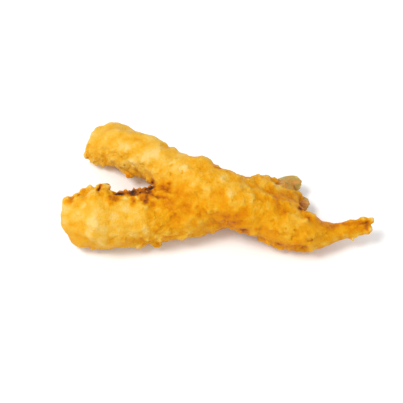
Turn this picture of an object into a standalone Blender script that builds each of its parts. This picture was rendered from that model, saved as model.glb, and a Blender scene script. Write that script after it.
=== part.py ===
"""A battered, deep-fried shrimp piece as it lies on a table.

Two shrimp bodies have fried together in one crust.  The upper body runs from its
blunt head end at the back left, over the lower body, down to its belly at the front
right and out into a narrow battered tail.  The lower body lies along the front left
and passes under it to the back right, where its small bare tail fins show.  Left of
the crossing the two head ends stand apart like a V.

Blender units are metres, +Z is up, and the origin is the bottom centre of the piece.
"""

import math

import bmesh
import bpy
import numpy as np
from mathutils import Matrix, Vector

MM = 0.001

# Centre lines of the bodies: x, y, z and the radius with its batter there, in mm.
UPPER_BODY = [
    (-50.6, 26.5, 7.8, 8.7),
    (-46.5, 26.7, 9.0, 10.2),
    (-41.4, 23.5, 10.3, 9.5),
    (-34.5, 17.8, 12.5, 9.6),
    (-27.0, 12.3, 14.5, 9.6),
    (-19.6, 4.9, 16.5, 9.7),
    (-11.1, -1.0, 18.0, 11.3),
    (-3.0, -5.7, 18.3, 12.1),
    (5.3, -10.2, 18.0, 11.1),
    (13.5, -13.5, 16.0, 11.3),
    (21.6, -15.0, 13.0, 10.3),
    (29.6, -17.8, 10.3, 11.3),
    (36.9, -20.8, 8.9, 9.9),
]
LOWER_BODY = [
    (-58.8, -15.4, 12.0, 9.6),
    (-56.2, -15.7, 12.0, 12.1),
    (-52.5, -15.9, 12.0, 13.7),
    (-46.8, -16.3, 12.0, 12.8),
    (-38.5, -16.1, 11.7, 11.9),
    (-29.8, -14.7, 11.5, 11.9),
    (-20.9, -12.7, 11.3, 11.6),
    (-12.5, -12.0, 11.2, 11.9),
    (-3.4, -9.5, 11.2, 11.5),
    (5.4, -6.1, 10.8, 11.1),
    (14.1, -3.3, 9.8, 9.2),
    (22.3, -1.2, 8.9, 8.6),
    (30.5, 1.2, 7.2, 6.3),
]
# Batter that has filled the hollow between the two bodies.
WEB = [
    (-14.0, -6.0, 13.0, 7.0),
    (-2.0, -8.0, 13.5, 9.5),
    (8.0, -7.8, 13.4, 9.6),
    (15.0, -6.0, 13.2, 9.5),
    (20.0, -4.8, 12.5, 8.9),
    (25.0, -5.0, 11.4, 8.3),
    (30.5, -5.4, 9.2, 6.6),
]
# The tail grows out of the upper body inside its belly.
TAIL = [
    (30.0, -18.2, 10.2, 9.0),
    (36.5, -20.5, 8.9, 9.6),
    (40.7, -21.1, 8.3, 8.8),
    (45.0, -21.6, 7.9, 6.6),
    (49.9, -20.7, 7.8, 4.8),
    (55.8, -20.1, 8.4, 3.8),
    (62.0, -19.0, 9.5, 3.2),
]
# Tail fins: root, tip, width and thickness, in mm.  The first two end the battered
# tail, the others are the bare fins of the lower body.
FINS = {
    "tail_fin_upper": ((53.0, -18.8, 8.5), (69.6, -16.3, 11.1), 4.8, 3.4),
    "tail_fin_lower": ((53.0, -20.0, 8.5), (67.8, -20.2, 9.5), 5.2, 4.0),
    "bare_fin_upper": ((27.5, 3.4, 7.6), (39.0, 7.0, 8.8), 7.0, 3.4),
    "bare_fin_lower": ((29.0, 1.2, 7.0), (42.2, -4.5, 7.2), 5.8, 2.8),
}

# The crags of the outline, as seen from the front and VIEW_ELEVATION degrees up: body,
# x, direction in that view (0 is +X, 90 is up), radius and how far the middle of the
# crag lies outside the body's radius, in degrees and mm.
VIEW_ELEVATION = 55.0
CRAGS = [
    (UPPER_BODY, -51, -157, 1.9, 0.5),
    (UPPER_BODY, -50, 113, 3.5, -2.1),
    (UPPER_BODY, -51, -119, 1.3, -0.1),
    (UPPER_BODY, -35, -115, 1.6, 0.7),
    (UPPER_BODY, -11, 64, 2.2, -0.2),
    (UPPER_BODY, -4, 66, 2.3, -0.8),
    (UPPER_BODY, 14, -106, 1.3, -0.6),
    (UPPER_BODY, 30, -95, 1.4, -0.8),
    (LOWER_BODY, -54, 147, 2.4, 0.4),
    (LOWER_BODY, -54, 163, 3.0, -2.3),
    (LOWER_BODY, -54, 126, 1.5, -1.3),
    (LOWER_BODY, -54, 111, 1.9, -0.8),
    (LOWER_BODY, -54, 96, 1.6, 0.2),
    (LOWER_BODY, -50, 86, 2.3, 0.0),
    (LOWER_BODY, -34, 99, 1.6, -0.4),
    (LOWER_BODY, -29, 93, 1.5, -0.4),
    (LOWER_BODY, -54, -127, 6.0, -4.6),
    (LOWER_BODY, -53, -95, 1.7, 0.0),
    (LOWER_BODY, -35, -83, 1.4, 0.4),
    (LOWER_BODY, -29, -77, 2.1, 0.4),
    (LOWER_BODY, 18, 91, 1.4, -0.2),
    (TAIL, 58, -77, 1.1, 0.1),
]
LOOSE_CRAGS = 80            # further ones, scattered over both bodies
LOOSE_CRAG_RADIUS = (1.0, 2.2)
LOOSE_CRAG_SUNK = 0.4       # share of its radius that the middle of one is sunk
SEED = 11

# Crust relief: size of a feature and its height, in mm.
LUMP_SIZE, LUMP_HEIGHT = 10.0, 2.8
NODULE_SIZE, NODULE_HEIGHT = 4.4, 2.0
GRAIN_SIZE, GRAIN_HEIGHT = 2.4, 0.8
FULL_RELIEF_RADIUS = 10.0   # a thinner stretch has a shallower crust
LEAST_RELIEF = 0.25

VOXEL = 0.75
BODY_BLEND = 20             # smoothing steps where the bodies run together
TAIL_BLEND = 6
TRIANGLES = 11400
PRESSED_FLAT = 0.7          # height of the underside that lies pressed on the table

CRUST_COLOUR = (0.80, 0.40, 0.05, 1.0)
CRUST_ROUGHNESS = 0.55


def clear_scene():
    for obj in list(bpy.data.objects):
        bpy.data.objects.remove(obj, do_unlink=True)


def crust_material():
    material = bpy.data.materials.new("fried_crust")
    material.use_nodes = True
    shader = material.node_tree.nodes["Principled BSDF"]
    shader.inputs["Base Color"].default_value = CRUST_COLOUR
    shader.inputs["Roughness"].default_value = CRUST_ROUGHNESS
    shader.inputs["Metallic"].default_value = 0.0
    return material


def body_tube(name, stations):
    """A round tube through the stations, its radius eased from one to the next."""
    curve = bpy.data.curves.new(name, "CURVE")
    curve.dimensions = "3D"
    curve.bevel_depth = MM
    curve.bevel_resolution = 6
    curve.resolution_u = 6
    curve.use_fill_caps = True
    spline = curve.splines.new("BEZIER")
    spline.radius_interpolation = "CARDINAL"
    spline.bezier_points.add(len(stations) - 1)
    for point, (x, y, z, radius) in zip(spline.bezier_points, stations):
        point.co = Vector((x, y, z)) * MM
        point.handle_left_type = point.handle_right_type = "AUTO"
        point.radius = radius
    guide = bpy.data.objects.new(name, curve)
    bpy.context.scene.collection.objects.link(guide)
    graph = bpy.context.evaluated_depsgraph_get()
    mesh = bpy.data.meshes.new_from_object(guide.evaluated_get(graph))
    bpy.data.objects.remove(guide)
    return mesh


def ball(name, centre, radii, turn=None):
    """An ellipsoid with its radii along X, Y and Z before it is turned."""
    mesh = bpy.data.meshes.new(name)
    shape = bmesh.new()
    bmesh.ops.create_uvsphere(shape, u_segments=24, v_segments=16, radius=MM)
    bmesh.ops.scale(shape, vec=radii, verts=shape.verts)
    bmesh.ops.transform(shape, matrix=turn or Matrix(), verts=shape.verts)
    bmesh.ops.translate(shape, vec=Vector(centre) * MM, verts=shape.verts)
    shape.to_mesh(mesh)
    shape.free()
    return mesh


def fin(name, root, tip, width, thickness):
    """A flat paddle from root to tip, tilted so that its broad side looks up and forward."""
    root, tip = Vector(root), Vector(tip)
    length = (tip - root).length
    turn = (tip - root).to_track_quat("X", "Z").to_matrix().to_4x4()
    tilt = Matrix.Rotation(math.radians(90 - VIEW_ELEVATION), 4, "X")
    return ball(name, (root + tip) / 2, (length / 2, width / 2, thickness / 2), turn @ tilt)


def station_at(stations, x):
    """The centre and radius of a body where it passes x."""
    table = np.array(stations)
    y, z, radius = (float(np.interp(x, table[:, 0], table[:, i])) for i in (1, 2, 3))
    return Vector((x, y, z)), radius


def crag(name, centre, size, random):
    """An uneven lump."""
    radii = [size * float(f) for f in random.uniform(0.75, 1.25, 3)]
    turn = Matrix.Rotation(float(random.uniform(0, math.tau)), 4, Vector(random.normal(size=3)))
    return ball(name, centre, radii, turn)


def crags():
    random = np.random.default_rng(SEED)
    tilt = math.radians(VIEW_ELEVATION)
    picture_up = Vector((0.0, math.sin(tilt), math.cos(tilt)))
    made = []
    for stations, x, angle, size, beyond in CRAGS:
        centre, radius = station_at(stations, x)
        turn = math.radians(angle)
        outward = Vector((math.cos(turn), 0.0, 0.0)) + picture_up * math.sin(turn)
        made.append(crag("crag", centre + outward * (radius + beyond), size, random))
    for _ in range(LOOSE_CRAGS):
        stations = (UPPER_BODY, LOWER_BODY)[int(random.integers(2))]
        centre, radius = station_at(stations, float(random.uniform(stations[0][0], stations[-1][0])))
        outward = Vector(random.normal(size=3) * (0.5, 1.0, 1.0)).normalized()
        size = float(random.uniform(*LOOSE_CRAG_RADIUS))
        made.append(crag("loose_crag", centre + outward * (radius - size * LOOSE_CRAG_SUNK), size, random))
    return made


def bodies():
    tubes = {"upper_body": UPPER_BODY, "lower_body": LOWER_BODY, "web": WEB}
    made = [body_tube(name, stations) for name, stations in tubes.items()]
    for stations, end in ((UPPER_BODY, 0), (UPPER_BODY, -1), (LOWER_BODY, 0), (LOWER_BODY, -1), (WEB, -1)):
        x, y, z, radius = stations[end]
        made.append(ball("round_end", (x, y, z), (radius,) * 3))
    return made


def tails():
    x, y, z, radius = TAIL[-1]
    made = [body_tube("tail", TAIL), ball("tail_end", (x, y, z), (radius,) * 3)]
    made += [fin(name, *shape) for name, shape in FINS.items()]
    return made


def add_meshes(obj, meshes):
    """Puts the meshes into the object's own, still overlapping."""
    whole = bmesh.new()
    whole.from_mesh(obj.data)
    for mesh in meshes:
        whole.from_mesh(mesh)
        bpy.data.meshes.remove(mesh)
    whole.to_mesh(obj.data)
    whole.free()


def apply_modifiers(obj):
    graph = bpy.context.evaluated_depsgraph_get()
    mesh = bpy.data.meshes.new_from_object(obj.evaluated_get(graph))
    obj.modifiers.clear()
    obj.data = mesh


def fuse(obj, smoothing):
    """Makes one closed skin round everything in the object and rounds its creases."""
    remesh = obj.modifiers.new("fuse", "REMESH")
    remesh.mode = "VOXEL"
    remesh.voxel_size = VOXEL * MM
    if smoothing:
        smooth = obj.modifiers.new("blend", "SMOOTH")
        smooth.factor = 0.5
        smooth.iterations = smoothing
    apply_modifiers(obj)


def relief_weights(obj):
    """A vertex group that is 1 on the thick bodies and falls with the radius of the nearest station."""
    bare = [(*tip, LEAST_RELIEF * FULL_RELIEF_RADIUS) for _, tip, _, _ in FINS.values()]
    stations = np.array(UPPER_BODY + LOWER_BODY + TAIL + bare)
    points = np.array([v.co for v in obj.data.vertices]) / MM
    away = np.linalg.norm(points[:, None, :] - stations[None, :, :3], axis=2)
    radius = stations[away.argmin(axis=1), 3]
    weight = np.clip(radius / FULL_RELIEF_RADIUS, LEAST_RELIEF, 1.0)
    group = obj.vertex_groups.new(name="relief")
    for index, value in enumerate(weight):
        group.add([index], float(value), "REPLACE")


def displace(obj, name, kind, size, height):
    texture = bpy.data.textures.new(name, kind)
    texture.noise_scale = size * MM
    layer = obj.modifiers.new(name, "DISPLACE")
    layer.texture = texture
    layer.texture_coords = "LOCAL"
    layer.mid_level = 0.5
    layer.strength = height * MM
    layer.vertex_group = "relief"


def thin_out(obj):
    """Fewer triangles where the crust is smooth."""
    triangles = sum(len(p.vertices) - 2 for p in obj.data.polygons)
    thin = obj.modifiers.new("thin", "DECIMATE")
    thin.ratio = TRIANGLES / triangles
    apply_modifiers(obj)


def press_flat(obj):
    """Cuts the underside off at the table, so that the piece rests on small flat spots."""
    shape = bmesh.new()
    shape.from_mesh(obj.data)
    table = min(v.co.z for v in shape.verts) + PRESSED_FLAT * MM
    cut = bmesh.ops.bisect_plane(
        shape,
        geom=shape.verts[:] + shape.edges[:] + shape.faces[:],
        plane_co=(0, 0, table),
        plane_no=(0, 0, 1),
        clear_inner=True,
    )
    rim = [e for e in cut["geom_cut"] if isinstance(e, bmesh.types.BMEdge)]
    bmesh.ops.holes_fill(shape, edges=rim)
    shape.to_mesh(obj.data)
    shape.free()


def to_origin(obj):
    """Moves the mesh so that the origin is the bottom centre of its box."""
    points = np.array([v.co for v in obj.data.vertices])
    low, high = points.min(axis=0), points.max(axis=0)
    shift = Vector((-(low[0] + high[0]) / 2, -(low[1] + high[1]) / 2, -low[2]))
    for vertex in obj.data.vertices:
        vertex.co += shift


def main():
    clear_scene()
    collection = bpy.data.collections.new("fried_shrimp")
    bpy.context.scene.collection.children.link(collection)
    shrimp = bpy.data.objects.new("fried_shrimp", bpy.data.meshes.new("fried_shrimp"))
    collection.objects.link(shrimp)
    add_meshes(shrimp, bodies())
    fuse(shrimp, BODY_BLEND)
    add_meshes(shrimp, tails())
    fuse(shrimp, TAIL_BLEND)
    relief_weights(shrimp)
    displace(shrimp, "lumps", "CLOUDS", LUMP_SIZE, LUMP_HEIGHT)
    displace(shrimp, "nodules", "VORONOI", NODULE_SIZE, -NODULE_HEIGHT)
    displace(shrimp, "grain", "CLOUDS", GRAIN_SIZE, GRAIN_HEIGHT)
    apply_modifiers(shrimp)
    add_meshes(shrimp, crags())
    fuse(shrimp, 0)
    thin_out(shrimp)
    press_flat(shrimp)
    to_origin(shrimp)
    shrimp.data.materials.clear()
    shrimp.data.materials.append(crust_material())


main()
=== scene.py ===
"""A battered, deep-fried shrimp piece on a pale table, seen from in front and above.

The crust keeps the solid's form and adds a finer relief: clods, crags, swells, nodules,
grains, burst bubbles and the ribs of the battered tail.  Two fans of bare shell, crumbs
and thin flakes of batter stand on it.  Lengths in the named values are in millimetres.
"""

import itertools
import math

import bmesh
import bpy
import numpy as np
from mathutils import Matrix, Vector


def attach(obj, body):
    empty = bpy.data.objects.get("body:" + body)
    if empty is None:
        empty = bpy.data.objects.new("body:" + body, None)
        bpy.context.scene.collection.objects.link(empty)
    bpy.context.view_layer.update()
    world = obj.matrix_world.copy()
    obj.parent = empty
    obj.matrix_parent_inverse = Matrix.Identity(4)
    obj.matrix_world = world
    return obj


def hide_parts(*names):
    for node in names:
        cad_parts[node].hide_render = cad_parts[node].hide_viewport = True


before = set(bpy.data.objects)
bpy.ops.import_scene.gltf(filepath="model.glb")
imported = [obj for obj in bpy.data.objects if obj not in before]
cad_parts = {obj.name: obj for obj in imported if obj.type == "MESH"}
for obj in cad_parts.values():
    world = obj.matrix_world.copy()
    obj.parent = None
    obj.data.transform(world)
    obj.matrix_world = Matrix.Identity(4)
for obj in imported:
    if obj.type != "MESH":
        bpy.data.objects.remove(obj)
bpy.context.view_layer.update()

MM = 0.001
SEED = 40

# The crust's net of faces, the clods fused into it, and its relief: size of a feature
# and its height.
CRUST_STEP = 0.465
CREASE_ROUNDING = 3
BUMP_ROUNDS, FORM_ROUNDS = 40, 160  # averagings that take the bumps away, and the form
CREST_ROUNDS, HOLLOW_ROUNDS = 10, 160   # those that crest and hollow are measured from
MERGED = 1e-6                       # points nearer than this, in metres, become one
CLODS = 2000
CLOD_RADIUS = (0.6, 1.8)
CLOD_SUNK = (0.35, 0.1)             # as a share of its size, and in any case
CLOD_UNEVEN = 0.35
CLOD_CLUSTERS = 7.0                 # size of the places that have many
CLOD_SIDES = (-0.8, 0.0)            # how far down a face looks where the sides start and end
CLODS_END = (40.0, 50.0)            # x where they become few towards the tail
CLODS_START = (1.0, 2.5)            # height over the table from which they lie
SWELLS = ((9.0, 0.40), (4.6, 0.35))
NODULES = ((4.0, 0.70), (2.3, 0.50))    # large ones in some places, small in others
NODULE_PLACES = 9.0                 # size of those places
DRIFT, TWIST = (4.2, 1.2), (1.7, 0.35)  # waves that bend the rows of nodules: size, reach
GRAINS = (1.35, 0.30)
SAND = (0.8, 0.12)
BUBBLES = (4.4, 0.65, 0.6)          # spacing, radius and depth of the burst ones
WHOLE_BUBBLES = 0.68                # share of them that didn't burst
SMOOTH_PATCH = 13.0                 # size of the smoother and rougher patches
ROUGH_SIDES = (-0.75, 0.1)          # how far down a face looks where the sides start and end
THIN_SWOLLEN = 0.25                 # what the rounding took from the tail, given back
LOWEST_RELIEF = 0.28                # share of the relief left on the smoothest patch
RELIEF_SUNK = 0.60                  # depth at which the roughest relief starts
TAIL_STARTS = (42.0, 54.0)          # x where the body thins into the tail

# Where the batter ends and the bare fins begin, in the photograph's frame, PICTURE wide
# and high: column, row, column, row, radius, and how far the batter is gone.
BARE = ((288.5, 180.0, 297.0, 182.0, 8.6, 1.0), (307.0, 202.0, 308.0, 203.0, 3.6, 0.9))
BARE_SUNK = 1.3                     # how far the batter ends above the shell
BARE_EDGE = (0.30, 0.55)            # how far it is gone where its edge starts and ends
RAGGED = (2.4, 0.6)                 # size and reach of the waves along that edge
# The ribbed tip of the battered tail: root, tip, half width; and the way it faces.
TAIL_RIBS = ((56.3, -22.2, 9.6), (68.3, -20.7, 11.6), 3.6)
TAIL_FACES = (0.0, -0.57, 0.82)
RIB_SPACING, RIB_HEIGHT = 1.25, 0.15

# How browned the palest batter is and how much more it is towards the tail and on the tail,
# then painted shade where it faces down and painted light high up: from, to and how much.
PALEST = 0.33
BROWNER_RIGHT = (-32.0, 8.0, 0.15)
BROWNER_TAIL = (38.0, 54.0, 0.17)
SHADED_BELOW = (-0.6, 0.3, 0.09)
LIT_TOP = (22.0, 30.0, 0.06)
MARK_RAGGED = (2.2, 0.5)            # size and reach of the waves along a mark's edge
UNCOUNTED = 0.85                    # share of the squared distance along the view left out

# Where the darker marks of the crust show in the photograph's frame, PICTURE wide and high:
# toasted batter, and painted shadow in notches and grooves, along the rim of the fork and in
# the gap under the fins. Column, row, radius, and how much darker it is there over the rest.
TOASTED_AND_SHADOWED = (
    (111.0, 126.0, 4.0, 0.11), (101.0, 145.0, 4.0, 0.08), (99.0, 188.0, 2.2, 0.56),
    (105.5, 189.5, 3.4, 0.38), (80.0, 192.0, 4.6, 0.27), (107.5, 192.5, 3.4, 0.30),
    (101.0, 193.0, 5.0, 0.38), (119.5, 194.0, 2.4, 0.36),
    (84.0, 197.0, 4.6, 0.27), (94.0, 197.0, 5.0, 0.36), (70.0, 200.0, 4.4, 0.36),
    (95.0, 200.5, 2.8, 0.22), (66.5, 201.0, 3.5, 0.34), (111.0, 201.5, 4.0, 0.30),
    (68.0, 202.0, 5.0, 0.10), (84.0, 205.0, 8.0, 0.11), (84.0, 212.0, 7.0, 0.12),
    (88.5, 247.5, 2.3, 0.18), (178.0, 165.0, 6.0, 0.08), (127.5, 175.0, 2.2, 0.38),
    (168.5, 183.0, 3.0, 0.44), (141.0, 186.5, 3.0, 0.20), (161.0, 188.0, 4.6, 0.28),
    (165.0, 190.0, 6.9, 0.28), (155.0, 190.5, 3.6, 0.40), (160.0, 194.0, 5.0, 0.34),
    (152.5, 194.5, 3.8, 0.50), (146.0, 195.0, 6.0, 0.36), (164.0, 195.0, 6.0, 0.22),
    (166.0, 196.0, 5.0, 0.28), (146.5, 196.5, 2.6, 0.30), (158.5, 197.0, 3.0, 0.25),
    (166.0, 201.0, 8.0, 0.28), (133.0, 202.5, 3.4, 0.32), (152.0, 203.0, 4.6, 0.34),
    (145.0, 203.0, 3.4, 0.28), (176.5, 203.5, 2.3, 0.18), (172.0, 205.0, 6.9, 0.26),
    (177.5, 206.5, 2.9, 0.18), (176.0, 214.0, 5.8, 0.17), (171.5, 217.0, 3.4, 0.15),
    (157.0, 225.5, 3.4, 0.18), (156.0, 231.0, 3.7, 0.21), (152.0, 239.0, 4.0, 0.18),
    (142.0, 240.5, 3.7, 0.18), (133.0, 240.5, 3.7, 0.18), (124.0, 241.0, 3.4, 0.11),
    (157.0, 246.5, 2.5, 0.27), (197.0, 173.5, 2.3, 0.15), (180.0, 196.0, 7.0, 0.18),
    (224.0, 196.0, 7.0, 0.08), (180.0, 204.0, 6.0, 0.20), (184.0, 207.0, 4.6, 0.11),
    (198.0, 207.0, 2.1, 0.24), (184.0, 209.0, 6.9, 0.18), (204.0, 209.0, 4.6, 0.15),
    (223.5, 209.0, 3.4, 0.11), (193.0, 212.0, 3.4, 0.11), (198.5, 215.5, 2.9, 0.18),
    (238.0, 216.0, 5.6, 0.18), (228.0, 219.0, 7.0, 0.13), (234.0, 222.0, 7.0, 0.16),
    (194.5, 225.5, 3.4, 0.18), (296.5, 192.5, 2.5, 0.16), (282.5, 195.0, 4.6, 0.12),
    (292.0, 195.0, 5.0, 0.14), (277.5, 197.5, 3.4, 0.11), (262.0, 199.0, 6.0, 0.08),
    (288.0, 199.5, 4.6, 0.15), (296.0, 200.5, 2.3, 0.18), (276.0, 204.0, 6.0, 0.10),
    (244.0, 213.0, 7.0, 0.28), (247.0, 217.0, 5.8, 0.14), (240.0, 223.5, 7.0, 0.18),
    (245.0, 224.0, 6.5, 0.18), (292.0, 227.0, 8.0, 0.08), (243.5, 229.0, 4.6, 0.20),
    (255.5, 229.0, 1.8, 0.24), (260.5, 229.5, 1.7, 0.12), (279.5, 244.0, 3.7, 0.24),
    (297.0, 244.5, 4.6, 0.18), (290.0, 246.0, 4.6, 0.14), (300.0, 197.0, 4.0, 0.12),
    (301.0, 207.5, 2.4, 0.45), (307.0, 215.0, 4.5, 0.20), (309.5, 217.0, 4.0, 0.20),
    (316.0, 222.0, 6.0, 0.08), (321.5, 225.0, 4.6, 0.11), (350.0, 227.0, 7.0, 0.08),
    (330.0, 228.0, 6.0, 0.10), (325.0, 228.5, 3.4, 0.11), (350.5, 233.5, 2.1, 0.18),
    (311.5, 241.0, 2.5, 0.18), (367.0, 222.0, 1.8, 0.18), (366.0, 225.5, 2.5, 0.18),
    (368.0, 229.5, 1.7, 0.18),
)
# The same for marks that run from one place to another, toasted batter and painted shadow
# alike: column, row, column, row, radius and how much darker.
SCORCHED_AND_SHADOWED = (
    (116.5, 193.0, 123.5, 192.5, 3.4, 0.58), (124.0, 191.5, 133.0, 191.0, 5.0, 0.52),
    (133.0, 192.0, 141.0, 191.5, 6.0, 0.55), (140.0, 191.0, 147.0, 191.0, 6.8, 0.56),
    (147.0, 188.5, 151.5, 186.5, 4.4, 0.66), (151.0, 182.5, 152.0, 181.5, 2.2, 0.42),
    (132.5, 193.0, 133.0, 200.0, 3.2, 0.50), (141.0, 192.0, 142.0, 198.5, 3.2, 0.50),
    (147.0, 191.0, 146.0, 200.5, 4.6, 0.54), (157.5, 196.5, 165.5, 197.0, 2.8, 0.48),
    (215.5, 166.5, 220.5, 167.5, 2.0, 0.34), (344.0, 223.5, 366.0, 223.0, 2.2, 0.16),
    (300.5, 208.0, 304.5, 209.5, 1.8, 0.42), (100.0, 185.0, 98.0, 190.5, 2.0, 0.62),
    (353.0, 226.5, 366.0, 229.0, 2.6, 0.10), (345.0, 232.5, 352.5, 233.0, 1.8, 0.16),
    (366.5, 220.5, 367.0, 229.5, 1.8, 0.22), (110.0, 197.5, 116.0, 197.5, 4.2, 0.42),
)
# Pale, less fried places, and painted highlights along the lit ridges: column, row, radius
# and how much paler.
PALE_AND_LIT = (
    (107.0, 203.5, 2.6, 0.20), (82.0, 206.0, 3.6, 0.20), (64.5, 208.0, 5.0, 0.14),
    (78.5, 214.5, 6.0, 0.20), (114.0, 217.0, 4.2, 0.20), (95.0, 222.0, 4.8, 0.20),
    (64.0, 222.0, 5.0, 0.14), (118.0, 228.0, 5.0, 0.10), (70.0, 230.0, 5.0, 0.10),
    (104.0, 231.0, 5.4, 0.20), (116.0, 231.0, 8.0, 0.18), (88.0, 232.0, 4.8, 0.20),
    (118.0, 240.0, 5.0, 0.12), (100.0, 242.0, 6.0, 0.20), (122.5, 144.5, 7.2, 0.20),
    (154.0, 152.5, 6.0, 0.20), (145.0, 156.0, 7.2, 0.20), (171.0, 160.0, 4.8, 0.20),
    (132.0, 165.0, 7.0, 0.24), (175.0, 170.0, 6.0, 0.20), (125.5, 196.5, 2.6, 0.30),
    (137.5, 196.5, 2.0, 0.34), (128.0, 208.0, 4.8, 0.20), (158.0, 209.5, 3.6, 0.20),
    (146.0, 231.0, 4.2, 0.20), (134.0, 234.0, 6.0, 0.18), (180.0, 155.0, 6.0, 0.10),
    (184.0, 168.0, 3.6, 0.20), (223.0, 176.5, 6.0, 0.20), (190.5, 178.0, 5.4, 0.20),
    (191.5, 184.0, 3.6, 0.20), (232.0, 192.0, 6.0, 0.20), (204.0, 194.5, 6.0, 0.20),
    (262.0, 183.0, 4.8, 0.20), (282.5, 185.5, 2.6, 0.20), (278.0, 186.0, 6.0, 0.26),
    (245.0, 187.0, 4.8, 0.20), (298.5, 220.0, 6.0, 0.20), (286.0, 227.5, 7.2, 0.12),
    (359.5, 235.5, 3.4, 0.30), (353.5, 236.5, 3.4, 0.28), (345.0, 238.5, 3.6, 0.26),
    (352.5, 240.0, 1.8, 0.48), (336.0, 241.0, 4.0, 0.24), (326.0, 245.5, 4.0, 0.28),
    (315.0, 250.5, 3.4, 0.26), (369.5, 217.5, 2.4, 0.38), (363.0, 217.5, 2.6, 0.30),
    (372.5, 219.0, 2.8, 0.50), (371.0, 229.5, 2.6, 0.46), (365.0, 233.5, 3.0, 0.32),
)
# Crags that stand up from the rim of the fork and along the outline: column, row, radius
# and how many times as tall.
CRAGS = (
    (125.0, 190.5, 2.0, 1.5), (129.0, 191.0, 1.6, 1.1), (133.0, 188.0, 2.0, 1.8),
    (137.0, 189.5, 1.7, 1.2), (140.5, 188.5, 2.2, 1.4), (144.0, 188.5, 2.4, 1.1),
    (149.0, 187.5, 2.2, 1.1), (102.5, 185.0, 2.0, 0.6), (109.0, 187.0, 2.8, 0.9),
    (125.0, 197.5, 2.4, 1.0), (137.5, 197.5, 2.2, 1.0), (82.0, 190.0, 2.2, 1.0),
    (94.5, 189.5, 2.4, 1.0), (127.0, 177.0, 1.8, 1.3), (131.0, 248.0, 1.8, 1.1),
    (141.0, 248.0, 1.6, 1.3), (157.0, 246.0, 1.8, 1.0), (352.0, 240.0, 1.4, 1.5),
    (86.0, 155.5, 1.8, 1.0), (244.0, 217.0, 1.6, 0.9),
)
# Where the batter lies thicker: column, row, column, row, radius, how much in mm.
THICK = (
    (62.5, 199.0, 68.0, 197.5, 4.0, 0.8), (61.5, 203.0, 61.5, 205.0, 4.0, 0.7),
    (60.5, 216.0, 60.5, 221.0, 4.0, 0.3), (91.0, 132.0, 93.0, 130.0, 4.0, 0.3),
    (90.0, 163.0, 94.0, 164.5, 4.0, 0.4), (106.0, 124.5, 117.0, 123.5, 5.0, 0.8),
    (140.0, 134.0, 158.0, 138.5, 6.0, 0.9), (176.0, 149.5, 184.0, 153.5, 5.0, 0.8),
    (190.0, 156.0, 198.0, 157.0, 5.0, 0.5), (203.0, 157.5, 209.0, 159.5, 4.0, 0.9),
    (235.0, 174.0, 242.0, 176.5, 4.0, 0.9), (258.0, 175.0, 268.0, 176.0, 4.0, 0.4),
    (97.5, 248.5, 121.0, 248.0, 5.0, 0.5), (177.0, 240.5, 183.0, 240.5, 4.0, 0.2),
    (250.0, 236.0, 254.0, 237.0, 4.0, 0.7), (288.0, 251.5, 293.0, 252.0, 3.5, 0.4),
    (307.0, 252.0, 310.0, 252.0, 3.0, 0.4), (345.0, 220.5, 351.0, 219.5, 3.0, 0.5),
    (361.5, 217.5, 369.0, 217.0, 3.0, 0.6), (371.0, 218.5, 373.0, 221.0, 3.0, 0.6),
    (370.5, 226.0, 371.0, 229.0, 3.0, 0.6), (305.0, 211.5, 315.0, 214.5, 3.0, 0.8),
    (96.5, 186.0, 98.0, 184.5, 2.5, 0.7),
)
# Where it lies thinner, and grooves in it, in the same way.
THIN = (
    (344.0, 223.5, 356.0, 223.0, 1.6, 0.2), (356.0, 223.0, 366.0, 223.0, 1.6, 0.35),
    (300.0, 207.5, 304.5, 209.5, 1.8, 0.8), (303.5, 196.5, 305.5, 198.5, 3.0, 0.6),
    (99.5, 185.5, 98.0, 190.5, 1.6, 0.9), (112.5, 189.5, 121.0, 190.5, 4.2, 1.4),
    (217.0, 162.0, 221.0, 164.0, 5.0, 0.9), (114.0, 168.5, 119.0, 169.0, 3.5, 0.4),
    (122.0, 247.5, 130.0, 247.5, 4.0, 0.5), (154.0, 246.0, 158.0, 246.5, 4.0, 0.7),
    (165.0, 144.0, 169.0, 145.5, 4.0, 0.7), (73.0, 195.0, 77.0, 193.0, 3.5, 0.1),
    (193.0, 238.0, 206.0, 234.5, 5.0, 1.1), (296.0, 251.5, 304.0, 252.0, 5.0, 2.2),
    (271.0, 246.0, 284.0, 250.0, 4.0, 1), (324.0, 220.0, 334.0, 223.5, 4.0, 0.7),
    (274.5, 177.5, 278.0, 178.5, 4.5, 1.9), (241.0, 233.0, 246.0, 233.5, 4.0, 0.6),
)
# Smooth edges and tops: column, row, column, row, radius, share of the relief taken away.
SMOOTH = (
    (93.0, 150.0, 103.0, 127.0, 7.0, 0.8), (103.0, 127.0, 126.0, 125.0, 7.0, 0.8),
    (126.0, 125.0, 165.0, 145.0, 7.0, 0.8), (165.0, 145.0, 185.0, 158.0, 7.0, 0.8),
    (185.0, 158.0, 207.0, 159.0, 7.0, 0.8), (207.0, 159.0, 240.0, 177.0, 7.0, 0.6),
    (62.0, 202.0, 62.0, 226.0, 7.0, 0.8), (62.0, 226.0, 78.0, 244.0, 7.0, 0.8),
    (76.0, 214.0, 80.0, 232.0, 14.0, 0.7), (80.0, 232.0, 100.0, 236.0, 12.0, 0.7),
    (78.0, 246.0, 122.0, 247.0, 7.0, 0.8), (90.0, 214.0, 132.0, 214.0, 16.0, 0.65),
    (118.0, 140.0, 160.0, 156.0, 10.0, 0.5), (262.0, 234.0, 290.0, 246.0, 6.0, 0.7),
    (290.0, 247.0, 330.0, 243.0, 7.0, 0.8), (312.0, 210.0, 332.0, 225.0, 6.0, 0.7),
    (224.0, 214.0, 250.0, 228.0, 8.0, 0.7), (190.0, 232.0, 222.0, 230.0, 7.0, 0.5),
    (214.0, 162.0, 222.0, 165.0, 10.0, 1.0),
)
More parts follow.
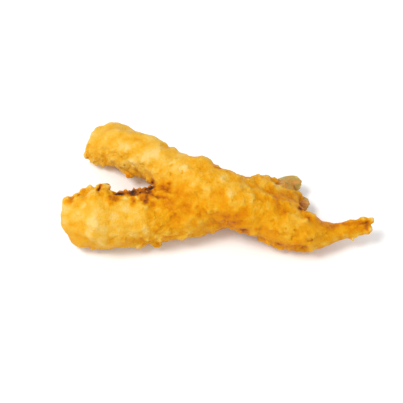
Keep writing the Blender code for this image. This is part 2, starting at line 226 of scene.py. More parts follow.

# Colours from barely fried to burnt; the painted shade and light run along them too, the
# darkest as painted shadow.
BROWNING_AND_SHADE = (
    (0.00, (0.72, 0.50, 0.155)),
    (0.22, (0.70, 0.395, 0.042)),
    (0.42, (0.67, 0.300, 0.007)),
    (0.60, (0.61, 0.218, 0.002)),
    (0.76, (0.46, 0.133, 0.005)),
    (0.90, (0.17, 0.045, 0.010)),
    (1.00, (0.035, 0.014, 0.011)),
)
# Colours of the bare shell: burnt, brown, red, tan, olive, light olive and cream.
SHELL = (
    (0.00, (0.025, 0.012, 0.010)),
    (0.25, (0.16, 0.070, 0.012)),
    (0.44, (0.44, 0.140, 0.020)),
    (0.58, (0.54, 0.260, 0.045)),
    (0.70, (0.34, 0.240, 0.030)),
    (0.82, (0.50, 0.350, 0.070)),
    (1.00, (0.74, 0.480, 0.180)),
)

# Tail fans of bare shell: root, tip, way they face, how far the outer blades turn, half
# width of a blade, and tones of root, body, midrib and rim.
FANS = (
    ((26.0, 1.2, 8.2), (38.2, 3.3, 9.3), (0.15, -0.30, 0.9), 11.0, 3.1, (0.62, 0.60, 0.44, 0.78)),
    ((31.0, -5.9, 7.5), (41.3, -8.2, 7.8), (0.10, -0.30, 0.9), 12.0, 2.5, (0.42, 0.47, 0.40, 0.76)),
)
# The blades of a fan: turn and length as shares, height in mm.
BLADES = ((-1.0, 0.95, -0.3), (1.0, 0.96, -0.4), (-0.5, 0.97, 0.3), (0.55, 0.98, 0.2), (0.0, 1.0, 0.9))
BLADE_THICK = 0.9
BLADE_CURL = 0.9
BLADE_BULGE = 0.16
BLADE_NET = (26, 32)                # rows of points along it, and points around it
MIDRIB_WIDTH, MIDRIB_HEIGHT = 0.3, 0.12     # as a share of the blade, and in mm

CRUMBS, FLAKES = 140, 70
BIT_NET = (6, 9)                    # rings and sides of a clod, crumb or flake
SMALLEST_CRUMB, CRUMB_RANGE = 0.35, 0.45
CRUMB_SUNK = 0.45                   # as a share of its size
CRUMB_UNEVEN = 0.45
CRUMB_CLUSTERS = 6.0                # size of the places that have many
CRUMB_SIDES = (-0.6, 0.2)           # how far down a face looks where the sides start and end
CRUMBS_END = (38.0, 48.0)           # x where they end towards the tail
CRUMBS_START = (0.6, 2.0)           # height over the table from which they lie
DARKEST_CRUMB = 0.8
FLAKE_RADIUS = (0.6, 1.2)
FLAKE_THICK = 0.17
FLAKE_SUNK = 0.1
FLAKE_UNEVEN = 0.5
LOWEST_BIT = 0.02                   # height over the table that nothing goes below

# Camera: what it looks at, from how far and how high.
TARGET = (-6.72, -10.24, 12.68)
DISTANCE = 492.6
ELEVATION = 55.0
LENS, SENSOR = 100.0, 36.0
NEAREST, FARTHEST = 0.01, 20.0      # what it shows, in metres away
PICTURE = 403                       # the photograph's width and height in pixels
PIXEL = 0.44                        # millimetres to a pixel at the piece

FLOOR_WIDTH, FLOOR_BELOW = 3000.0, 0.1
TABLE = (0.90, 0.90, 0.90, 1.0)
SKY = 0.80
LAMPS = (
    # name, place, width, watts
    ("key", (-420.0, -120.0, 780.0), 380.0, 5.2),
    ("front", (150.0, -700.0, 600.0), 600.0, 1.2),
)


# ---------------------------------------------------------------- noise

def scramble(cells, seed):
    """A number in 0..1 for each cell, given by three whole numbers, and always the same
    for the same cell and seed: the three are multiplied by large odd numbers, put
    together bit by bit, and mixed by shifts."""
    x, y, z = (cells[..., i].astype(np.int64).astype(np.uint32) for i in range(3))
    mixed = x * np.uint32(0x8DA6B343) ^ y * np.uint32(0xD8163841) ^ z * np.uint32(0xCB1AB31F)
    mixed ^= np.uint32(seed * 0x9E3779B1 & 0xFFFFFFFF)
    for shift, factor in ((15, 0x2C1B3C6D), (12, 0x297A2D39), (15, 0x1B56C4E9)):
        mixed ^= mixed >> np.uint32(shift)
        mixed = mixed * np.uint32(factor)
    return mixed / 2.0**32


def waves(points, size, seed):
    """Gradient noise of about -1..1: each corner of a grid of that size has a random
    slope, and the slopes times the offsets from their corners are eased into each other
    with 6t^5 - 15t^4 + 10t^3."""
    places = points / size
    base = np.floor(places)
    part = places - base
    ease = part**3 * (part * (part * 6 - 15) + 10)
    total = np.zeros(len(points))
    for corner in itertools.product((0, 1), repeat=3):
        cell = base + corner
        height = scramble(cell, seed) * 2 - 1
        turn = scramble(cell, seed + 1) * math.tau
        flat = np.sqrt(1 - height**2)
        slope = np.stack((flat * np.cos(turn), flat * np.sin(turn), height), axis=-1)
        share = np.prod(np.where(corner, ease, 1 - ease), axis=-1)
        total += share * np.sum(slope * (part - corner), axis=-1)
    return total * 1.6


def wander(points, size, seed):
    """Three such noises as one vector."""
    return np.stack([waves(points, size, seed + k) for k in (0, 2, 4)], axis=-1)


def bumps(points, size, seed):
    """Cell noise: each cell of a grid of that size holds one seed at a random place.
    Returns the distance from a point to the nearest seed, in cells, and that seed's own
    number in 0..1."""
    places = points / size
    base = np.floor(places)
    nearest = np.full(len(points), 9.0)
    own = np.zeros(len(points))
    for step in itertools.product((-1, 0, 1), repeat=3):
        cell = base + step
        spot = cell + np.stack([scramble(cell, seed + k) for k in range(3)], axis=-1)
        away = np.linalg.norm(spot - places, axis=-1)
        closer = away < nearest
        own = np.where(closer, scramble(cell, seed + 3), own)
        nearest = np.where(closer, away, nearest)
    return nearest, own


def ramp_up(values, low, high):
    """0 below low, 1 above high, and 3t^2 - 2t^3 between them."""
    t = np.clip((values - low) / (high - low), 0, 1)
    return t * t * (3 - 2 * t)


def unit(vectors):
    """The rows, each made 1 long."""
    return vectors / np.linalg.norm(vectors, axis=-1, keepdims=True)


# ---------------------------------------------------------------- meshes

def show(name, mesh):
    """Puts the mesh in the scene as a piece at the origin."""
    piece = bpy.data.objects.new(name, mesh)
    bpy.context.scene.collection.objects.link(piece)
    return piece


def read(mesh):
    """The points in millimetres, their normals and the edges, as arrays."""
    points = np.empty(len(mesh.vertices) * 3, np.float32)
    mesh.vertices.foreach_get("co", points)
    normals = np.empty_like(points)
    mesh.vertices.foreach_get("normal", normals)
    edges = np.empty(len(mesh.edges) * 2, np.int32)
    mesh.edges.foreach_get("vertices", edges)
    points, normals = (each.reshape(-1, 3).astype(float) for each in (points, normals))
    return points / MM, normals, edges.reshape(-1, 2)


def write(mesh, points):
    """Moves the mesh's points to these places, given in millimetres."""
    mesh.vertices.foreach_set("co", (points * MM).astype(np.float32).ravel())
    mesh.update()


def paint(mesh, name, values):
    """Keeps one number for each point of the mesh."""
    layer = mesh.attributes.new(name, "FLOAT", "POINT")
    layer.data.foreach_set("value", np.asarray(values, np.float32))


def averaged(values, edges, steps):
    """Every point's value becomes the mean of its neighbours' values, steps times."""
    ends = np.concatenate((edges[:, 0], edges[:, 1]))
    others = np.concatenate((edges[:, 1], edges[:, 0]))
    number = len(values)
    count = np.bincount(ends, minlength=number)
    columns = values.reshape(number, -1).T
    for _ in range(steps):
        columns = np.stack([np.bincount(ends, c[others], number) / count for c in columns])
    return columns.T.reshape(values.shape)


def closed_net(rows, sides):
    """The faces of a closed surface of rows of points, each row a ring of that many
    sides: quads between the rows, and triangles from the first and the last row to two
    points that come after all the others."""
    row, column = np.meshgrid(np.arange(rows - 1), np.arange(sides), indexing="ij")
    first = row * sides + column
    beside = row * sides + (column + 1) % sides
    quads = np.stack((first, first + sides, beside + sides, beside), axis=-1).reshape(-1, 4)
    ring = np.arange(sides)
    last = (rows - 1) * sides
    top = np.full(sides, rows * sides)
    caps = np.vstack((
        np.stack((top, ring, (ring + 1) % sides), axis=-1),
        np.stack((top + 1, last + (ring + 1) % sides, last + ring), axis=-1),
    ))
    return quads, caps


def near_line(points, start, end):
    """How far along the line from start to end a point lies, 0..1, and how far from it."""
    start, end = np.array(start), np.array(end)
    run = end - start
    along = np.clip((points - start) @ run / (run @ run), 0, 1)
    return along, np.linalg.norm(points - start - along[:, None] * run, axis=1)


# ---------------------------------------------------------------- marks of the crust

def camera_axes():
    """The ways that the camera calls up and backwards."""
    up = math.radians(ELEVATION)
    return np.array((0.0, math.sin(up), math.cos(up))), np.array((0.0, -math.cos(up), math.sin(up)))


def in_picture(points):
    """Column, row and distance of the points in the photograph's frame: their offsets to
    the right and up, over their distance along the view, times the focal length."""
    over, back = camera_axes()
    away = points - np.array(TARGET) - back * DISTANCE
    depth = -(away @ back)
    scale = LENS / SENSOR * PICTURE / depth
    return np.stack((PICTURE / 2 + away[:, 0] * scale, PICTURE / 2 - away @ over * scale, depth), axis=1)


def seen(points, rows):
    """The point of the surface that shows at each row's column and row: of those within a
    pixel the nearest to the camera, and outside the outline the nearest in the picture."""
    view = in_picture(points)
    found = []
    for column, line, *_ in rows:
        away = np.hypot(view[:, 0] - column, view[:, 1] - line)
        close = np.flatnonzero(away < max(1.0, away.min() + 0.3))
        found.append(points[close[np.argmin(view[close, 2])]])
    return np.array(found)


def dotted(strokes):
    """Each stroke as a row of spots, half its radius apart."""
    rows = []
    for column, line, last_column, last_line, *rest in strokes:
        count = int(math.hypot(last_column - column, last_line - line) / (rest[0] * 0.5)) + 2
        for t in np.linspace(0, 1, count):
            rows.append((column + (last_column - column) * t, line + (last_line - line) * t, *rest))
    return rows


def marked(points, surface, rows):
    """How strongly the points are marked by rows of column, row, radius and strength: the
    most of strength * exp(-(d/r)^3), where d is the distance from the place on the surface,
    and what lies along the view counts for less."""
    back = camera_axes()[1]
    value = np.zeros(len(points))
    for place, (_, _, radius, strength) in zip(seen(surface, rows), rows):
        away = points - place
        square = np.sum(away**2, axis=1) - UNCOUNTED * (away @ back) ** 2
        value = np.maximum(value, np.exp(-((square / (radius * PIXEL) ** 2) ** 1.5)) * strength)
    return value


# ---------------------------------------------------------------- the crust

def finished(piece):
    """The piece's mesh with its modifiers carried out."""
    graph = bpy.context.evaluated_depsgraph_get()
    return bpy.data.meshes.new_from_object(piece.evaluated_get(graph))


def fused(first, second):
    """Both meshes in one, with the points that coincide merged."""
    both = bmesh.new()
    both.from_mesh(first)
    if second:
        both.from_mesh(second)
    bmesh.ops.remove_doubles(both, verts=both.verts, dist=MERGED)
    both.to_mesh(first)
    both.free()


def crust_net():
    """The solid's own surface, rounded by one subdivision, with clods of batter fused into
    it, as one net of even faces CRUST_STEP wide."""
    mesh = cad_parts["fried_shrimp"].data.copy()
    fused(mesh, None)
    mesh.materials.clear()
    piece = show("crust", mesh)
    rounded = piece.modifiers.new("rounded", "SUBSURF")
    rounded.levels = rounded.render_levels = 1
    mesh = finished(piece)
    piece.modifiers.clear()
    clods = make_clods(mesh)
    fused(mesh, clods.data)
    bpy.data.objects.remove(clods)
    piece.data = mesh
    even = piece.modifiers.new("even", "REMESH")
    even.mode = "VOXEL"
    even.voxel_size = CRUST_STEP * MM
    soft = piece.modifiers.new("soft", "SMOOTH")
    soft.factor = 0.5
    soft.iterations = CREASE_ROUNDING
    piece.data = finished(piece)
    piece.modifiers.clear()
    piece.data.name = "crust"
    return piece


def bareness(points):
    """1 on the bare fins and 0 on the batter, with a ragged edge at the fin's root."""
    size, reach = RAGGED
    ragged = points + wander(points, size, SEED + 91) * reach
    return ramp_up(marked(ragged, points, dotted(BARE)), *BARE_EDGE)


def ribs(points, root, tip, half):
    """Fine ridges that run along the tail: a cosine across it, whose waves widen towards
    the tip, gone at the half width and full from 0.6 of it inwards."""
    root, tip = np.array(root), np.array(tip)
    run = (tip - root) / np.linalg.norm(tip - root)
    side = np.cross(run, TAIL_FACES)
    side /= np.linalg.norm(side)
    along, away = near_line(points, root, tip)
    across = (points - root) @ side * (1.3 - 0.6 * along)
    return np.cos(across * math.tau / RIB_SPACING) * RIB_HEIGHT * ramp_up(-away, -half, -half * 0.6)


def domes(near):
    """Round domes with a crease between them: 1 at a seed, 0 at a distance of one cell."""
    return np.clip(1 - near**2.0, 0, 1)


def crust_relief(points, normals, bare, smooth):
    """The height of the fine relief over the solid, in millimetres: broad swells, round
    nodules with creases between them, smaller grains and sand, less of each on smoother
    patches and more on the sides, minus the pits of burst bubbles; and ribs on the
    tail."""
    drift = wander(points, DRIFT[0], SEED + 1)
    twist = wander(points, TWIST[0], SEED + 101)
    bent = points + drift * DRIFT[1] + twist * TWIST[1]
    patch = ramp_up(waves(points, SMOOTH_PATCH, SEED + 7), -0.45, 0.45)
    side = ramp_up(-normals[:, 2], *ROUGH_SIDES)
    rough = LOWEST_RELIEF + (1 - LOWEST_RELIEF) * np.maximum(patch, side)
    rough = rough * (1 - smooth)
    height = sum(waves(points, size, SEED + 9 + 2 * k) * tall for k, (size, tall) in enumerate(SWELLS))
    height = height * (1 - 0.7 * smooth)
    small = ramp_up(waves(points, NODULE_PLACES, SEED + 17), -0.25, 0.25)
    for k, share in enumerate((1 - small, small)):
        near, own = bumps(bent, NODULES[k][0], SEED + 20 + 5 * k)
        height = height + rough * share * domes(near) * (0.35 + 0.65 * own) * NODULES[k][1]
    near, own = bumps(bent, GRAINS[0], SEED + 30)
    height = height + rough * domes(near) * (0.25 + 0.75 * own) * GRAINS[1]
    height = height + rough * waves(points, SAND[0], SEED + 40) * SAND[1]
    near, own = bumps(bent, BUBBLES[0], SEED + 50)
    burst = np.exp(-((near * BUBBLES[0] / BUBBLES[1]) ** 2)) * (own > WHOLE_BUBBLES)
    height = height - burst * BUBBLES[2] - RELIEF_SUNK * (0.25 + 0.75 * rough)
    thin = ramp_up(points[:, 0], *TAIL_STARTS)
    height = (height * (1 - 0.35 * thin) + THIN_SWOLLEN * thin) * (1 - bare) - BARE_SUNK * bare
    return height + ribs(points, *TAIL_RIBS)


def rise(values, low, high, amount):
    """0 below low, the amount above high, and eased between them."""
    return amount * ramp_up(values, low, high)


def browning_and_shade(points, normals):
    """How far the batter has browned, about 0..1, with painted shade and light put in: more towards
    the tail, painted shade on the sides and underneath and painted light at the top, plus the
    toasted marks and painted shadows, minus the pale places and painted highlights."""
    size, reach = MARK_RAGGED
    spread = points + wander(points, size, SEED + 61) * reach
    value = PALEST + rise(points[:, 0], *BROWNER_RIGHT) + rise(points[:, 0], *BROWNER_TAIL)
    # Painted shade where it faces down, painted light where it stands high.
    value += rise(-normals[:, 2], *SHADED_BELOW) - rise(points[:, 2], *LIT_TOP)
    # Toasted marks with painted shadows among them; pale places with painted highlights.
    toasted_and_shaded = [*TOASTED_AND_SHADOWED, *dotted(SCORCHED_AND_SHADOWED)]
    return value + marked(spread, points, toasted_and_shaded) - marked(spread, points, PALE_AND_LIT)


def evened(points, edges, share):
    """The points with that share of their bumps taken away: a bump is how far a point lies
    from the mean of the points around it, less the part of this that the whole form has."""
    away = points - averaged(points, edges, BUMP_ROUNDS)
    return points - (away - averaged(away, edges, FORM_ROUNDS)) * share[:, None]


def make_crust():
    """The net with its bumps evened where the piece is smooth, its relief put on along
    the normals and its thicker and thinner places along their averages. Every point
    keeps how far it stands out (crest) and lies in (hollow), its browning with the painted
    shade and light in it, and whether it is bare."""
    piece = crust_net()
    points, normals, edges = read(piece.data)
    smooth = marked(points, points, dotted(SMOOTH))
    bare = bareness(points)
    height = crust_relief(points, normals, bare, smooth)
    broad = unit(averaged(normals, edges, BUMP_ROUNDS))
    thicker = marked(points, points, dotted(THICK)) - marked(points, points, dotted(THIN))
    points = evened(points, edges, smooth)
    points = points + normals * height[:, None] + broad * thicker[:, None]
    points[:, 2] = np.maximum(points[:, 2], 0.0)
    write(piece.data, points)
    points, normals, edges = read(piece.data)
    close = averaged(points, edges, CREST_ROUNDS)
    wide = averaged(close, edges, HOLLOW_ROUNDS)
    paint(piece.data, "crest", np.sum((points - close) * normals, axis=1))
    paint(piece.data, "hollow", np.sum((wide - close) * normals, axis=1))
    paint(piece.data, "browned", browning_and_shade(points, normals))
    paint(piece.data, "bare", bare)
    piece.data.shade_smooth()
    return piece


# ---------------------------------------------------------------- finishes

BATTER = {
    "Subsurface_Weight": 0.18,
    "Subsurface_Radius": (1.0, 0.45, 0.12),
    "Subsurface_Scale": 0.0016,
    "Specular_IOR_Level": 0.07,
    "Specular_Tint": (1.0, 0.62, 0.16, 1.0),
    "Coat_Roughness": 0.30,
    "Coat_Tint": (1.0, 0.95, 0.85, 1.0),
}


class Value:
    """The output of a shader node. Arithmetic on values adds Math nodes."""

    def __init__(self, finish, socket):
        self.finish = finish
        self.socket = socket

    def maths(self, operation, first, second=0.0):
        return self.finish.node("Math", {"operation": operation}, {0: first, 1: second})

    def __add__(self, other):
        return self.maths("ADD", self, other)

    def __sub__(self, other):
        return self.maths("SUBTRACT", self, other)

    def __rsub__(self, other):
        return self.maths("SUBTRACT", other, self)

    def __mul__(self, other):
        return self.maths("MULTIPLY", self, other)

    __radd__ = __add__
    __rmul__ = __mul__

    def clamped(self, low=0.0, high=1.0):
        return self.finish.node("Clamp", {}, {"Value": self, "Min": low, "Max": high})


class Finish:
    """A material being made."""

    def __init__(self, name, **constants):
        self.material = bpy.data.materials.new(name)
        self.material.use_nodes = True
        self.tree = self.material.node_tree
        self.shader = self.tree.nodes["Principled BSDF"]
        for socket, value in constants.items():
            self.shader.inputs[socket.replace("_", " ")].default_value = value

    def node(self, kind, settings, sockets, output=0):
        """Adds a node, sets what it is set to, then gives its sockets values or links."""
        made = self.tree.nodes.new("ShaderNode" + kind)
        for key, value in settings.items():
            if key == "stops":
                ramp = made.color_ramp
                while len(ramp.elements) < len(value):
                    ramp.elements.new(1.0)
                for element, (position, colour) in zip(ramp.elements, value):
                    element.position = position
                    element.color = (*colour, 1.0)
            else:
                setattr(made, key, value)
        for key, value in sockets.items():
            if isinstance(value, Value):
                self.tree.links.new(value.socket, made.inputs[key])
            else:
                made.inputs[key].default_value = value
        return Value(self, made.outputs[output])

    def give(self, socket, value):
        self.tree.links.new(value.socket, self.shader.inputs[socket])

    def give_bump(self, strength, depth, height):
        """Bends the shading by a height of 0..1 that stands for that depth in mm."""
        sockets = {"Strength": strength, "Distance": depth * MM, "Height": height}
        self.give("Normal", self.node("Bump", {}, sockets))

    def place(self):
        return self.node("TexCoord", {}, {}, "Object")

    def painted(self, name):
        return self.node("Attribute", {"attribute_name": name}, {}, "Fac")

    def noise(self, place, size, detail=2.0, roughness=0.5):
        """Noise of about -1..1 with features of that size in millimetres."""
        made = self.node(
            "TexNoise",
            {},
            {"Vector": place, "Scale": 1 / (size * MM), "Detail": detail, "Roughness": roughness},
        )
        return (made - 0.5) * 4.0

    def blisters(self, place, size):
        """Small domes of that size in millimetres, 1 on top and near 0 in the creases."""
        bent = self.node("TexNoise", {}, {"Vector": place, "Scale": 0.6 / (size * MM)}, "Color")
        moved = self.node(
            "VectorMath", {"operation": "MULTIPLY_ADD"}, {0: bent, 1: (size * MM * 0.9,) * 3, 2: place}
        )
        near = self.node("TexVoronoi", {}, {"Vector": moved, "Scale": 1 / (size * MM)}, "Distance")
        return 1 - near

    def ramp(self, value, stops):
        return self.node("ValToRGB", {"stops": stops}, {0: value})

    def mix(self, share, first, second):
        return self.node("Mix", {"data_type": "RGBA"}, {0: share, 6: first, 7: second}, 2)


def fried_crust():
    """Golden batter: browner where it is toasted, with painted shade in creases and hollows and
    a painted highlight on the crests, blotched at three sizes, with a patchy film of oil."""
    finish = Finish("fried_crust", **BATTER)
    place = finish.place()
    crest, hollow = finish.painted("crest"), finish.painted("hollow")
    patches = finish.noise(place, 14.0, 2.0)
    blotches = finish.noise(place, 4.0, 3.0)
    specks = finish.noise(place, 1.1, 2.0, 0.6)
    blisters = finish.blisters(place, 0.95)
    browned = finish.painted("browned") + patches * 0.11 + blotches * 0.13 + specks * 0.04
    # Painted shade: browner in the hollows and in the creases between the blisters; painted light: paler
    # on the crests.
    browned = browned + hollow * 0.10 - crest * 0.28 + (0.6 - blisters) * 0.08
    crust = finish.ramp(browned.clamped(), BROWNING_AND_SHADE)
    # Painted light: the bare fin is paler on its crests.
    fin = finish.ramp((0.62 + blotches * 0.16 + specks * 0.10 + crest * 0.3).clamped(), SHELL)
    bare = finish.painted("bare")
    finish.give("Base Color", finish.mix(bare, crust, fin))
    oil = finish.noise(place, 7.0, 2.0)
    finish.give("Roughness", (0.50 + oil * 0.10 + specks * 0.05 - bare * 0.15).clamped(0.2, 0.9))
    finish.give("Coat Weight", (0.02 + oil * 0.04 + bare * 0.12).clamped())
    fine = finish.noise(place, 0.5, 3.0, 0.65)
    finish.give_bump(0.8, 0.28, blisters * 0.9 + fine * 0.35 + specks * 0.3)
    return finish.material


def crumb_batter():
    """The crust's batter as it looks on crumbs and flakes, each with its own browning and the
    painted shade of the crust under it.
    """
    finish = Finish("crumb_batter", **BATTER)
    place = finish.place()
    specks = finish.noise(place, 0.9, 3.0, 0.6)
    browned = finish.painted("browned") + specks * 0.09
    finish.give("Base Color", finish.ramp(browned.clamped(), BROWNING_AND_SHADE))
    finish.give("Roughness", (0.5 + specks * 0.1).clamped(0.2, 0.9))
    finish.give("Coat Weight", (0.02 + specks * 0.04).clamped())
    finish.give_bump(0.6, 0.18, specks)
    return finish.material


def bare_shell():
    """The tail fins' own shell: olive to red brown, ribbed and thin, with a dull gloss."""
    finish = Finish(
        "bare_shell", Subsurface_Weight=0.2, Subsurface_Radius=(1.0, 0.5, 0.2), Subsurface_Scale=0.001,
        Specular_IOR_Level=0.4, Coat_Roughness=0.25,
    )
    place = finish.place()
    specks = finish.noise(place, 0.8, 3.0, 0.6)
    blotches = finish.noise(place, 2.5, 2.0)
    tone = finish.painted("tone") + specks * 0.08 + blotches * 0.10
    finish.give("Base Color", finish.ramp(tone.clamped(), SHELL))
    finish.give("Roughness", (0.42 + specks * 0.1).clamped(0.2, 0.9))
    finish.give("Coat Weight", (0.15 + blotches * 0.1).clamped())
    finish.give_bump(0.5, 0.12, specks)
    return finish.material


# ---------------------------------------------------------------- bare fins

def blade(root, tip, facing, half, tones):
    """A blade as a function of two parameters: u runs from root to tip and v around a flat
    oval cross-section. The half width is half * sqrt(sin(pi (0.25 + 0.75u))), the thickness
    fades to the tip, fine ridges run along it and fade with u^4, and it bends down with
    the squares of u and of the distance from its midrib. Returns its points, its faces and
    a tone per point."""
    steps, around = BLADE_NET
    u = np.sin(np.linspace(0.0, 0.499, steps) * math.pi)[:, None]
    v = np.linspace(0.0, math.tau, around, endpoint=False)[None, :]
    run = tip - root
    length = np.linalg.norm(run)
    run = run / length
    facing = facing - run * (facing @ run)
    facing = facing / np.linalg.norm(facing)
    side = np.cross(run, facing)
    across = half * np.sqrt(np.sin(math.pi * (0.25 + 0.75 * u))) * np.cos(v)
    ridges = np.cos(across * math.tau / RIB_SPACING * (1.4 - 0.4 * u)) * (1 - u**4)
    midrib = np.exp(-((np.cos(v) / MIDRIB_WIDTH) ** 2)) * ramp_up(u, 0.1, 0.4)
    ribbed = ridges * RIB_HEIGHT * 0.4 * np.abs(np.sin(v))
    thick = BLADE_THICK / 2 * (1 - 0.5 * u) + ribbed + midrib * MIDRIB_HEIGHT
    raised = thick * np.sin(v) - BLADE_CURL * u**2 - BLADE_BULGE * across**2
    points = root + (u * length)[..., None] * run + across[..., None] * side + raised[..., None] * facing
    points = np.vstack((points.reshape(-1, 3), points[0].mean(axis=0), points[-1].mean(axis=0)))
    quads, caps = closed_net(steps, around)
    root_tone, body_tone, midrib_tone, rim_tone = tones
    tone = root_tone + (body_tone - root_tone) * ramp_up(u, 0.4, 0.75)
    tone = tone + (midrib_tone - tone) * midrib * 0.8
    tone = tone + (rim_tone - tone) * np.clip(np.abs(np.cos(v)) ** 5 + u**8, 0, 1) + ridges * 0.05
    return points, quads, caps, np.append(tone.ravel(), (root_tone, rim_tone))


def make_fins():
    """Each fan is a few blades that start at one root, turned aside around the way the fan
    faces, with the middle one lying over the others."""
    made = []
    for root, tip, facing, turned, half, tones in FANS:
        root, facing = np.array(root), np.array(facing)
        run = np.array(tip) - root
        side = np.cross(run, facing)
        side /= np.linalg.norm(side)
        for turn, long, height in BLADES:
            angle = math.radians(turned * turn)
            end = root + (run * math.cos(angle) + side * np.linalg.norm(run) * math.sin(angle)) * long
            made.append(blade(root + facing * height, end + facing * height, facing, half, tones))
    starts = np.cumsum([0] + [len(points) for points, _, _, _ in made])
    faces = []
    for start, (_, quads, caps, _) in zip(starts, made):
        faces += (quads + start).tolist() + (caps + start).tolist()
    mesh = bpy.data.meshes.new("bare_fins")
    mesh.from_pydata((np.vstack([row[0] for row in made]) * MM).tolist(), [], faces)
    paint(mesh, "tone", np.concatenate([row[3] for row in made]))
    mesh.shade_smooth()
    return show("bare_fins", mesh)


# ---------------------------------------------------------------- crumbs and flakes

def ball_net(rings, sides):
    """A unit ball as a function of two angles: rings of points between two poles, the
    height of a ring the cosine of its angle, its radius the sine. Returns the points and
    the faces."""
    angle = np.linspace(0, math.pi, rings + 1)[1:-1, None]
    turn = np.linspace(0, math.tau, sides, endpoint=False)[None, :]
    ring = np.stack(
        (np.sin(angle) * np.cos(turn), np.sin(angle) * np.sin(turn), np.cos(angle) + 0 * turn), axis=-1
    ).reshape(-1, 3)
    points = np.vstack((ring, (0, 0, 1), (0, 0, -1)))
    return points, *closed_net(rings - 1, sides)


def scattered(mesh, number, favour, random):
    """Random places on the mesh, as likely as a face is large times its favour, the
    normals there, and the places' points and their shares."""
    mesh.calc_loop_triangles()
    corners = np.empty(len(mesh.loop_triangles) * 3, np.int32)
    mesh.loop_triangles.foreach_get("vertices", corners)
    corners = corners.reshape(-1, 3)
    points, normals, _ = read(mesh)
    a, b, c = (points[corners[:, k]] for k in range(3))
    chance = np.linalg.norm(np.cross(b - a, c - a), axis=1) * favour(points, normals)[corners[:, 0]]
    chosen = corners[random.choice(len(corners), number, p=chance / chance.sum())]
    share = random.dirichlet((1, 1, 1), number)[..., None]
    places = np.sum(points[chosen] * share, axis=1)
    out = np.sum(normals[chosen] * share, axis=1)
    return places, unit(out), chosen, share[..., 0]


def bits(name, places, out, radii, lean, bend, uneven, random):
    """Many small uneven lumps in one piece: a unit ball stretched to the radii of each,
    its radius changed by noise, bent like a saddle, and turned so that its flat side
    faces out, leaning by a random amount."""
    ball, quads, caps = ball_net(*BIT_NET)
    aside = unit(np.cross(out, random.normal(size=out.shape)))
    out = unit(out + aside * lean[:, None])
    first = unit(np.cross(out, random.normal(size=out.shape)))
    frames = np.stack((first, np.cross(out, first), out), axis=1)
    count = len(places)
    offset = random.uniform(0, 500, (count, 1, 3))
    lumps = waves((ball[None] * 1.9 + offset).reshape(-1, 3), 1.0, SEED + 80).reshape(count, -1, 1)
    shape = ball[None] * radii[:, None, :] * (1 + uneven * lumps)
    shape[..., 2] += bend[:, None] * (shape[..., 0] ** 2 - 0.6 * shape[..., 1] ** 2)
    points = places[:, None] + np.einsum("kvi,kij->kvj", shape, frames)
    points[..., 2] = np.maximum(points[..., 2], LOWEST_BIT)
    start = (np.arange(count) * len(ball))[:, None, None]
    faces = (quads[None] + start).reshape(-1, 4).tolist() + (caps[None] + start).reshape(-1, 3).tolist()
    mesh = bpy.data.meshes.new(name)
    mesh.from_pydata((points.reshape(-1, 3) * MM).tolist(), [], faces)
    mesh.shade_smooth()
    return show(name, mesh), len(ball)


def painted(mesh, name):
    """The numbers that paint kept under that name."""
    values = np.empty(len(mesh.vertices), np.float32)
    mesh.attributes[name].data.foreach_get("value", values)
    return values


def crumb_places(crust, number, random):
    """Places, normals and browning with painted shade for crumbs, in clusters and mostly on the
    sides and where the crust is darkest from toasting and painted shade, but not on the tail,
    the fins and the smooth places."""
    browned, bare = painted(crust.data, "browned"), painted(crust.data, "bare")

    def favour(points, normals):
        clusters = ramp_up(waves(points, CRUMB_CLUSTERS, SEED + 71), -0.1, 0.5)
        side = ramp_up(-normals[:, 2], *CRUMB_SIDES)
        body = (1 - ramp_up(points[:, 0], *CRUMBS_END)) * (1 - bare)
        body = body * (1 - marked(points, points, dotted(SMOOTH)))
        toasted_and_shaded = ramp_up(browned, 0.55, 0.75)
        off_table = ramp_up(points[:, 2], *CRUMBS_START)
        return (0.05 + clusters * (0.25 + 0.75 * side) + toasted_and_shaded) * body * off_table

    places, out, chosen, share = scattered(crust.data, number, favour, random)
    return places, out, np.sum(browned[chosen] * share, axis=1)


def clod_favour(points, normals):
    """Clods lie everywhere on the batter, fewer on the smooth tops, the tail and the fins."""
    clusters = ramp_up(waves(points, CLOD_CLUSTERS, SEED + 73), -0.35, 0.35)
    side = ramp_up(-normals[:, 2], *CLOD_SIDES)
    body = 1 - 0.8 * ramp_up(points[:, 0], *CLODS_END)
    body = body * (1 - bareness(points)) * (1 - 0.9 * marked(points, points, dotted(SMOOTH)))
    off_table = ramp_up(points[:, 2], *CLODS_START)
    return (0.15 + clusters * (0.35 + 0.65 * side)) * body * off_table


def make_clods(mesh):
    """Lumps of batter, half sunk, that are fused into the crust, and the taller crags at
    their own places, which point up in the picture."""
    random = np.random.default_rng(SEED + 2)
    places, out, _, _ = scattered(mesh, CLODS, clod_favour, random)
    low, high = CLOD_RADIUS
    size = low + (high - low) * random.random(CLODS) ** 2.0
    radii = size[:, None] * random.uniform(0.75, 1.2, (CLODS, 3)) * (1.1, 1.1, 0.8)
    places = places - out * (CLOD_SUNK[0] * size + CLOD_SUNK[1])[:, None]
    crags = np.array(CRAGS)
    number = CLODS + len(crags)
    places = np.vstack((places, seen(read(mesh)[0], CRAGS)))
    out = np.vstack((out, np.tile(camera_axes()[0], (len(crags), 1))))
    tall = crags[:, 2:3] * PIXEL * random.uniform(0.9, 1.1, (len(crags), 3))
    tall[:, 2] *= crags[:, 3]
    radii = np.vstack((radii, tall))
    lean = np.append(random.uniform(0, 0.7, CLODS), random.uniform(0, 0.15, len(crags)))
    return bits("clods", places, out, radii, lean, np.zeros(number), CLOD_UNEVEN, random)[0]


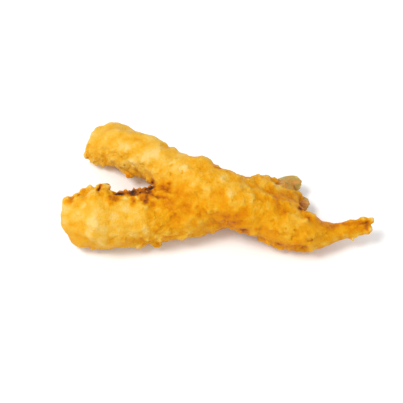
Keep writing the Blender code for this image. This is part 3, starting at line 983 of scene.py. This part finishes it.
def make_crumbs(crust):
    """Small lumps, half sunk, about as browned as the crust under them, its painted shade included."""
    random = np.random.default_rng(SEED)
    places, out, browned = crumb_places(crust, CRUMBS, random)
    size = SMALLEST_CRUMB + CRUMB_RANGE * random.random(CRUMBS) ** 1.6
    radii = size[:, None] * random.uniform(0.6, 1.5, (CRUMBS, 3)) * (1.0, 1.0, 0.7)
    # Crumb tone follows the crust's browning and painted shade under it.
    tone = browned + random.normal(0.02, 0.06, CRUMBS)
    tone = np.minimum(tone, DARKEST_CRUMB)
    places = places - out * (size * CRUMB_SUNK)[:, None]
    lean = random.uniform(0, 0.8, CRUMBS)
    piece, number = bits("crumbs", places, out, radii, lean, np.zeros(CRUMBS), CRUMB_UNEVEN, random)
    paint(piece.data, "browned", np.repeat(tone, number))
    return piece


def make_flakes(crust):
    """Thin bent scales that lean on the crust."""
    random = np.random.default_rng(SEED + 1)
    places, out, browned = crumb_places(crust, FLAKES, random)
    size = random.uniform(*FLAKE_RADIUS, FLAKES)
    width = size * random.uniform(0.5, 0.85, FLAKES)
    radii = np.stack((size, width, np.full(FLAKES, FLAKE_THICK)), axis=1)
    # Flake tone follows the crust's browning and painted shade under it.
    tone = browned + random.normal(0.02, 0.05, FLAKES)
    lean = random.uniform(0.1, 1.2, FLAKES)
    bend = random.uniform(-0.3, 0.3, FLAKES)
    places = places - out * FLAKE_SUNK
    piece, number = bits("flakes", places, out, radii, lean, bend, FLAKE_UNEVEN, random)
    paint(piece.data, "browned", np.repeat(tone, number))
    return piece


# ---------------------------------------------------------------- table, light and camera

def make_floor():
    """A wide white table top, just below the piece."""
    across = np.array([(-1, -1), (1, -1), (1, 1), (-1, 1)]) * FLOOR_WIDTH / 2
    points = np.column_stack((across, np.full(4, -FLOOR_BELOW))) * MM
    mesh = bpy.data.meshes.new("floor")
    mesh.from_pydata(points.tolist(), [], [(0, 1, 2, 3)])
    mesh.materials.append(Finish("white_table", Base_Color=TABLE, Roughness=0.7).material)
    floor = show("floor", mesh)


def aim(thing, place, target):
    """Puts a lamp or the camera at a place and turns it to look at the target."""
    thing.location = Vector(place) * MM
    thing.rotation_euler = (Vector(target) - Vector(place)).to_track_quat("-Z", "Y").to_euler()


def make_light():
    """An even white sky, and the lamps as round soft boxes."""
    world = bpy.data.worlds.new("studio")
    world.use_nodes = True
    sky = world.node_tree.nodes["Background"]
    sky.inputs["Color"].default_value = (1.0, 1.0, 1.0, 1.0)
    sky.inputs["Strength"].default_value = SKY
    bpy.context.scene.world = world
    for name, place, width, watts in LAMPS:
        lamp = bpy.data.lights.new(name, "AREA")
        lamp.shape = "DISK"
        lamp.size = width * MM
        lamp.energy = watts
        made = bpy.data.objects.new(name, lamp)
        bpy.context.scene.collection.objects.link(made)
        aim(made, place, TARGET)


def make_camera():
    """The camera of the photograph, DISTANCE back from what it looks at."""
    lens = bpy.data.cameras.new("camera")
    lens.lens, lens.sensor_width = LENS, SENSOR
    lens.clip_start, lens.clip_end = NEAREST, FARTHEST
    camera = bpy.data.objects.new("camera", lens)
    bpy.context.scene.collection.objects.link(camera)
    aim(camera, Vector(TARGET) + Vector(camera_axes()[1]) * DISTANCE, TARGET)
    bpy.context.scene.camera = camera


def ready(piece, material):
    """Gives the piece its material and tells the frame what it rides on."""
    piece.data.materials.clear()
    piece.data.materials.append(material)
    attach(piece, "root")


crust = make_crust()
crumbs = make_crumbs(crust)
flakes = make_flakes(crust)
fins = make_fins()
ready(crust, fried_crust())
ready(fins, bare_shell())
batter = crumb_batter()
ready(crumbs, batter)
ready(flakes, batter)
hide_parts("fried_shrimp")

make_floor()
make_light()
make_camera()
bpy.context.scene.view_settings.view_transform = "Standard"
